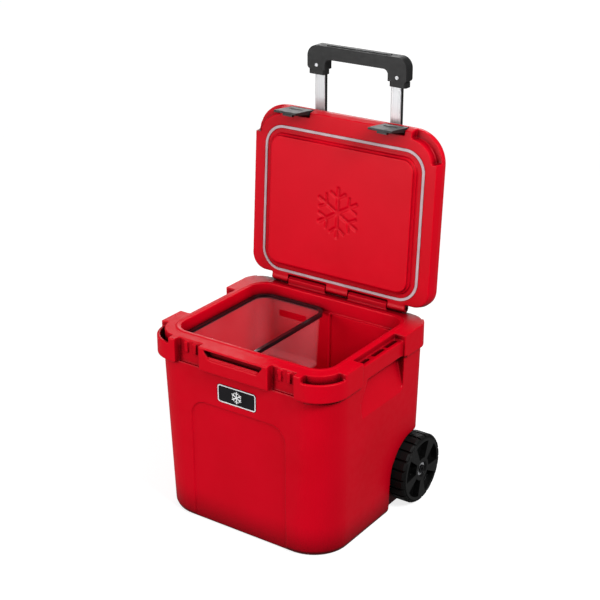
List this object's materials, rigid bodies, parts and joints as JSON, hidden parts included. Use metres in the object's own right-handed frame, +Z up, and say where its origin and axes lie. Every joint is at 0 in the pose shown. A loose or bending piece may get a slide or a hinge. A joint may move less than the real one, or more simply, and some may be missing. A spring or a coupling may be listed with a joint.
{
  "type": "wheeled cooler chest",
  "caption": "Wheeled hard cooler chest, standing open: hinged insulated lid with pull-down latches, sliding clear basket, rear wheels and a telescoping pull handle.",
  "frame": {"origin": "on the floor under the middle of the chest's opening, on the flat base", "axes": "+Z up, front of the chest towards -Y, +X to the right for someone who faces the front"},
  "size_m": [0.53, 0.507, 1.0235],
  "materials": {
    "red_plastic": "satin",
    "foam": "matte",
    "black_plastic": "satin",
    "latch_plastic": "satin",
    "badge_plastic": "gloss",
    "badge_white": "satin",
    "clear_plastic": "gloss",
    "rim_plastic": "gloss",
    "tube_metal": "satin",
    "steel": "satin",
    "dark_steel": "satin",
    "brass": "satin",
    "gasket_rubber": "matte",
    "tyre_rubber": "matte",
    "wheel_plastic": "satin",
    "bush_plastic": "matte"
  },
  "bodies": {
    "root": {"tub_shell": "red_plastic", "tub_foam": "foam", "tub_port_plug": "black_plastic", "badge_plate": "badge_plastic", "badge_mark": "badge_white", "hinge_pins": "steel", "upper_bracket": "black_plastic", "lower_bracket": "black_plastic", "bracket_screws": "steel", "outer_tube_left": "tube_metal", "outer_tube_right": "tube_metal", "outer_guide_left": "black_plastic", "outer_guide_right": "black_plastic", "axle_inserts": "brass", "axle_left": "dark_steel", "axle_right": "dark_steel", "axle_washers": "steel"},
    "basket": {"basket_bowl": "clear_plastic", "basket_rim": "rim_plastic"},
    "lid": {"lid_shell": "red_plastic", "lid_foam": "foam", "lid_port_plug": "black_plastic", "lid_gasket": "gasket_rubber", "latch_pins": "steel"},
    "latch_left": {"latch_left": "latch_plastic"},
    "latch_right": {"latch_right": "latch_plastic"},
    "handle_middle": {"middle_tube_left": "tube_metal", "middle_tube_right": "tube_metal", "middle_guides": "black_plastic", "middle_plugs": "black_plastic"},
    "handle_upper": {"upper_tube_left": "tube_metal", "upper_tube_right": "tube_metal", "upper_plugs": "black_plastic", "grip_front": "black_plastic", "grip_rear": "black_plastic", "grip_collars": "black_plastic", "grip_screws": "steel"},
    "release_button": {"release_button": "black_plastic", "release_rods": "steel"},
    "wheel_left": {"tyre_left": "tyre_rubber", "wheel_core_left": "wheel_plastic", "wheel_bush_left": "bush_plastic", "hub_ring_left": "wheel_plastic"},
    "wheel_right": {"tyre_right": "tyre_rubber", "wheel_core_right": "wheel_plastic", "wheel_bush_right": "bush_plastic", "hub_ring_right": "wheel_plastic"}
  },
  "joints": [
    {"name": "basket_slide", "type": "slide", "parent": "root", "child": "basket", "axis": [1, 0, 0], "range_m": [0, 0.209]},
    {"name": "lid_hinge", "type": "hinge", "parent": "root", "child": "lid", "pos_m": [0, 0.196, 0.461], "axis": [-1, 0, 0], "range_deg": [-93.5, 0]},
    {"name": "latch_left_hinge", "type": "hinge", "parent": "lid", "child": "latch_left", "pos_m": [-0.1265, 0.22409, 0.87105], "axis": [-1, 0, 0], "range_deg": [-7.5, 85]},
    {"name": "latch_right_hinge", "type": "hinge", "parent": "lid", "child": "latch_right", "pos_m": [0.1265, 0.22409, 0.87105], "axis": [-1, 0, 0], "range_deg": [-7.5, 85]},
    {"name": "handle_lower_slide", "type": "slide", "parent": "root", "child": "handle_middle", "axis": [0, 0, 1], "range_m": [-0.272, 0]},
    {"name": "handle_upper_slide", "type": "slide", "parent": "handle_middle", "child": "handle_upper", "axis": [0, 0, 1], "range_m": [-0.24, 0]},
    {"name": "release_press", "type": "slide", "parent": "handle_upper", "child": "release_button", "axis": [0, 0, 1], "range_m": [-0.004, 0], "stiffness_N_per_m": 800, "springref_m": 0.004},
    {"name": "wheel_left_spin", "type": "hinge", "parent": "root", "child": "wheel_left", "pos_m": [-0.241, 0.157, 0.0855], "axis": [1, 0, 0], "continuous": true},
    {"name": "wheel_right_spin", "type": "hinge", "parent": "root", "child": "wheel_right", "pos_m": [0.241, 0.157, 0.0855], "axis": [1, 0, 0], "continuous": true}
  ]
}
